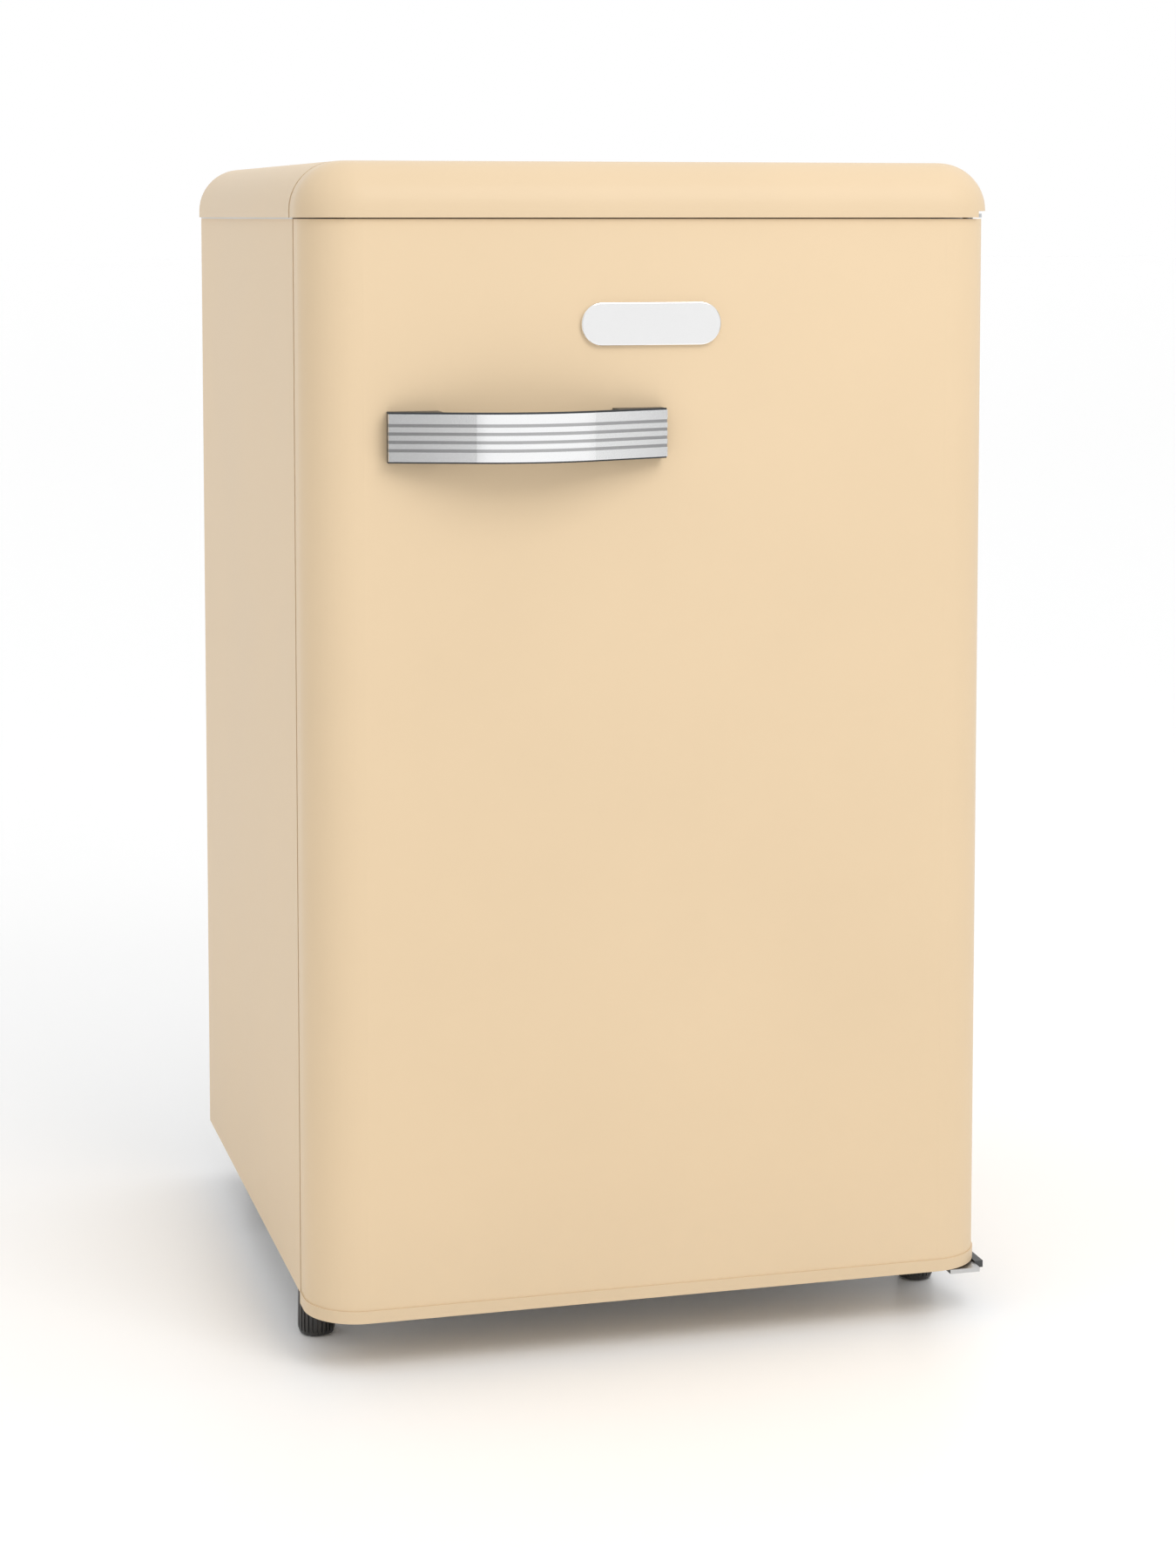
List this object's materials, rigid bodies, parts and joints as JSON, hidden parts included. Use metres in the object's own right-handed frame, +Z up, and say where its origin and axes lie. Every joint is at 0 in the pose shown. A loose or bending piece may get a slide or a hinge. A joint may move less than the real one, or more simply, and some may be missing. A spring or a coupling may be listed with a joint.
{
  "type": "mini_fridge",
  "caption": "Retro mini fridge with a cream rounded door hinged on the right, a ribbed bow handle, door racks, glass shelves, a crisper, an ice box and a rear condenser",
  "frame": {"origin": "on the floor under the middle of the object's outline", "axes": "+Z up, the door and handle face -Y, +X is the hinge side"},
  "size_m": [0.55, 0.613, 0.92],
  "materials": {
    "cream_paint": "satin gloss cream enamel",
    "cream_plastic": "satin gloss cream moulding",
    "zinc_steel": "zinc plated",
    "foam": "rigid polyurethane foam",
    "white_plastic": "white polystyrene",
    "grey_rubber": "soft magnetic seal",
    "clear_plastic": "clear polystyrene",
    "glass": "toughened glass",
    "aluminium": "roll bonded sheet",
    "handle_metal": "satin chrome",
    "badge_metal": "polished",
    "dark_plastic": "dark moulded plastic",
    "black_foot": "ribbed black",
    "steel_stud": "threaded steel",
    "black_paint": "gloss black",
    "copper": "drawn copper",
    "rubber": "moulded rubber"
  },
  "bodies": {
    "cabinet": {"back_panel": "zinc_steel", "base_pan": "zinc_steel", "bay_panel": "zinc_steel", "cabinet_foam": "foam", "cabinet_liner": "white_plastic", "compressor": "black_paint", "compressor_bar": "zinc_steel", "condenser_clips": "dark_plastic", "condenser_tube": "black_paint", "condenser_wires": "black_paint", "copper_pipes": "copper", "door_switch": "white_plastic", "drain_tube": "dark_plastic", "drip_tray": "dark_plastic", "evaporator": "aluminium", "filter_drier": "copper", "flap_lugs": "white_plastic", "foot_nuts": "zinc_steel", "hinge_lower": "zinc_steel", "hinge_screws": "zinc_steel", "hinge_stop": "dark_plastic", "hinge_upper": "zinc_steel", "hinge_washer": "dark_plastic", "lamp": "glass", "lamp_cover": "clear_plastic", "power_inlet": "dark_plastic", "rear_cover": "cream_plastic", "rear_feet": "black_foot", "rear_spacers": "dark_plastic", "relay_box": "dark_plastic", "rubber_mounts": "rubber", "shelf_glass": "glass", "shelf_trims": "white_plastic", "side_panel_left": "cream_paint", "side_panel_right": "cream_paint", "thermostat_box": "white_plastic", "top_panel": "zinc_steel"},
    "door": {"door_panel": "cream_paint", "door_foam": "foam", "door_liner": "white_plastic", "door_gasket": "grey_rubber", "door_cap": "cream_plastic", "door_trim": "cream_plastic", "handle_strap": "handle_metal", "handle_mount": "dark_plastic", "handle_screws": "zinc_steel", "badge": "badge_metal", "rack_bottle": "clear_plastic", "rack_middle": "clear_plastic", "rack_top": "clear_plastic", "egg_tray": "white_plastic", "hinge_bushes": "dark_plastic"},
    "crisper": {"crisper_drawer": "clear_plastic"},
    "flap": {"ice_flap": "white_plastic"},
    "knob": {"thermostat_knob": "white_plastic"},
    "plunger": {"switch_plunger": "white_plastic"},
    "foot_left_body": {"foot_left": "black_foot", "foot_stud_left": "steel_stud"},
    "foot_right_body": {"foot_right": "black_foot", "foot_stud_right": "steel_stud"}
  },
  "joints": [
    {"name": "door_hinge", "type": "hinge", "parent": "cabinet", "child": "door", "pos_m": [0.259, -0.2355, 0.45], "axis": [0, 0, 1], "range_deg": [0, 110]},
    {"name": "crisper_slide", "type": "slide", "parent": "cabinet", "child": "crisper", "axis": [0, -1, 0], "range_m": [0, 0.14]},
    {"name": "flap_hinge", "type": "hinge", "parent": "cabinet", "child": "flap", "pos_m": [0, -0.1115, 0.7], "axis": [1, 0, 0], "range_deg": [0, 88]},
    {"name": "knob_turn", "type": "hinge", "parent": "cabinet", "child": "knob", "pos_m": [0.19, -0.058, 0.636], "axis": [-1, 0, 0], "range_deg": [0, 270]},
    {"name": "plunger_slide", "type": "slide", "parent": "cabinet", "child": "plunger", "axis": [0, -1, 0], "range_m": [0, 0.005]},
    {"name": "foot_left_turn", "type": "hinge", "parent": "cabinet", "child": "foot_left_body", "pos_m": [-0.2517, -0.1589, 0.02], "axis": [0, 0, 1], "continuous": true},
    {"name": "foot_right_turn", "type": "hinge", "parent": "cabinet", "child": "foot_right_body", "pos_m": [0.2517, -0.1589, 0.02], "axis": [0, 0, 1], "continuous": true}
  ],
  "couplings": [
    {"joint": "crisper_slide", "follows": "door_hinge", "m_per_rad": 0.072922},
    {"joint": "flap_hinge", "follows": "door_hinge", "ratio": 0.8},
    {"joint": "plunger_slide", "follows": "door_hinge", "m_per_rad": 0.002604}
  ]
}
